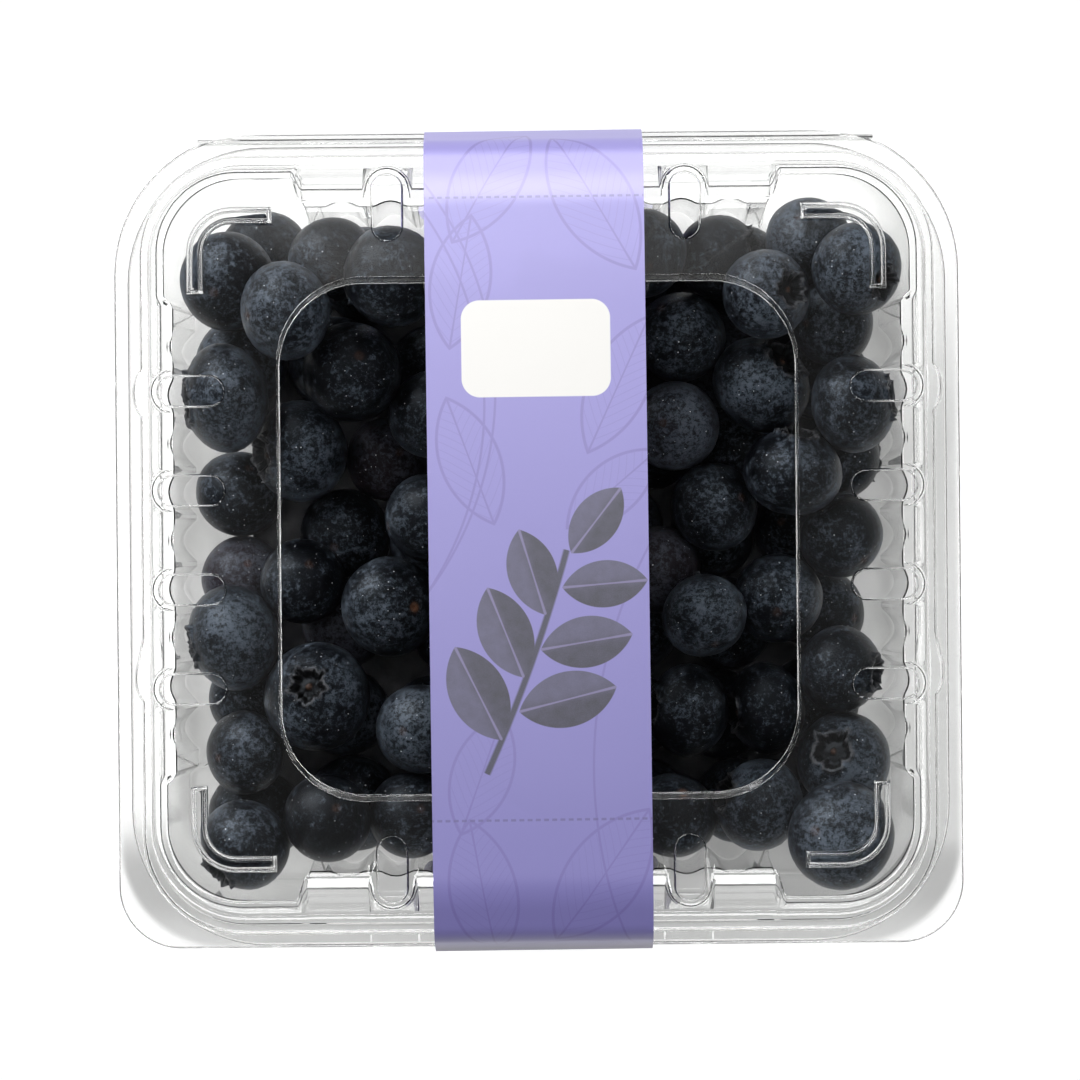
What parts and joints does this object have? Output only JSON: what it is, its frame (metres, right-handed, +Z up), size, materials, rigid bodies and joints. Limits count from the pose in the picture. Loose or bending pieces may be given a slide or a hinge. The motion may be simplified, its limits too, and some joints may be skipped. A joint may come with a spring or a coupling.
{
  "type": "punnet of blueberries",
  "caption": "Shut clear square punnet with a fluted base tray and a vented, panelled lid, held by a printed paper band and filled with a heap of blueberries.",
  "frame": {"origin": "the middle of the bounding box in plan, at the surface the punnet stands on", "axes": "+Z up, +Y towards the lid's hinge at the back, +X to the right seen from the front; the paper band runs front to back over the middle"},
  "size_m": [0.115, 0.1118, 0.0377],
  "materials": {
    "clear_sheet": "clear, glossy thermoformed PET",
    "lilac_paper": "smooth coated paper, printed lilac with plain shapes",
    "berry_skin": "dark blue-black skin with a dusty bloom"
  },
  "bodies": {
    "root": {"base_tray": "clear_sheet", "lid": "clear_sheet", "paper_band": "lilac_paper", "berries": "berry_skin"}
  },
  "joints": []
}
